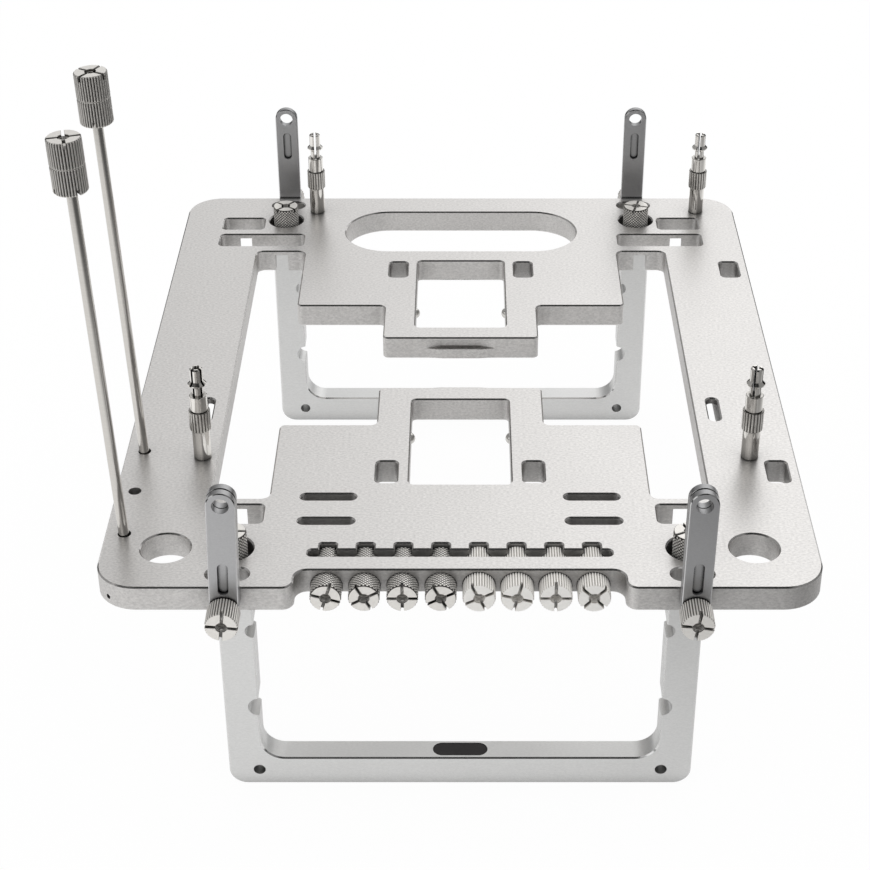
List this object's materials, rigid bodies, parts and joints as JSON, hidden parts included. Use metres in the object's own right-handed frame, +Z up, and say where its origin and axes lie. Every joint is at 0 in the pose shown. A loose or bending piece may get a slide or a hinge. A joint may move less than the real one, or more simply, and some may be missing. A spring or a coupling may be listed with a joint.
{
  "type": "open air test bench",
  "caption": "Low machined aluminium bench for a bare computer board: slotted plate on U-shaped leg frames, with snap standoffs, swinging side arms, card rods and a rack of spare knurled posts.",
  "frame": {"origin": "middle of the whole bench's footprint box, on the ground under the leg crossbars", "axes": "+X to the right and +Y to the rear, where the handle slot is; +Z up"},
  "size_m": [0.1932, 0.2518, 0.1946],
  "materials": {
    "plate_aluminium": "fine blasted, clear anodised",
    "leg_aluminium": "satin, clear anodised",
    "arm_aluminium": "satin, grey anodised",
    "bright_nickel": "turned and knurled, nickel plated",
    "dark_nickel": "turned and diamond knurled, nickel plated",
    "polished_steel": "ground and polished",
    "black_pad": "matte black"
  },
  "bodies": {
    "bench": {"base_plate": "plate_aluminium", "front_leg": "leg_aluminium", "rear_leg": "leg_aluminium", "front_leg_pad": "black_pad", "rear_leg_pad": "black_pad", "front_left_leg_screw": "dark_nickel", "front_right_leg_screw": "dark_nickel", "rear_left_leg_screw": "dark_nickel", "rear_right_leg_screw": "dark_nickel", "front_left_arm_screw": "bright_nickel", "front_right_arm_screw": "bright_nickel", "rear_left_arm_screw": "bright_nickel", "rear_right_arm_screw": "bright_nickel", "spare_post_1": "dark_nickel", "spare_post_2": "dark_nickel", "spare_post_3": "dark_nickel", "spare_post_4": "dark_nickel", "spare_post_5": "bright_nickel", "spare_post_6": "bright_nickel", "spare_post_7": "bright_nickel", "spare_post_8": "bright_nickel", "front_left_standoff": "bright_nickel", "front_right_standoff": "bright_nickel", "rear_left_standoff": "bright_nickel", "rear_right_standoff": "bright_nickel", "front_left_detent": "polished_steel", "front_right_detent": "polished_steel", "rear_left_detent": "polished_steel", "rear_right_detent": "polished_steel", "front_rod": "polished_steel", "front_rod_upper_nut": "bright_nickel", "front_rod_lower_nut": "bright_nickel", "rear_rod": "polished_steel", "rear_rod_upper_nut": "bright_nickel", "rear_rod_lower_nut": "bright_nickel"},
    "front_left_swing": {"front_left_arm": "arm_aluminium"},
    "front_left_outer_swing": {"front_left_outer_arm": "arm_aluminium"},
    "front_right_swing": {"front_right_arm": "arm_aluminium"},
    "front_right_outer_swing": {"front_right_outer_arm": "arm_aluminium"},
    "rear_left_swing": {"rear_left_arm": "arm_aluminium"},
    "rear_right_swing": {"rear_right_arm": "arm_aluminium"}
  },
  "joints": [
    {"name": "front_left_pivot", "type": "hinge", "parent": "bench", "child": "front_left_swing", "pos_m": [-0.05886, -0.11505, 0.07575], "axis": [0, 1, 0], "continuous": true},
    {"name": "front_left_outer_pivot", "type": "hinge", "parent": "bench", "child": "front_left_outer_swing", "pos_m": [-0.05886, -0.11755, 0.07575], "axis": [0, 1, 0], "continuous": true},
    {"name": "front_right_pivot", "type": "hinge", "parent": "bench", "child": "front_right_swing", "pos_m": [0.06214, -0.11505, 0.07575], "axis": [0, 1, 0], "continuous": true},
    {"name": "front_right_outer_pivot", "type": "hinge", "parent": "bench", "child": "front_right_outer_swing", "pos_m": [0.06214, -0.11755, 0.07575], "axis": [0, 1, 0], "continuous": true},
    {"name": "rear_left_pivot", "type": "hinge", "parent": "bench", "child": "rear_left_swing", "pos_m": [-0.05886, 0.11755, 0.07575], "axis": [0, 1, 0], "continuous": true},
    {"name": "rear_right_pivot", "type": "hinge", "parent": "bench", "child": "rear_right_swing", "pos_m": [0.06214, 0.11755, 0.07575], "axis": [0, 1, 0], "continuous": true}
  ]
}
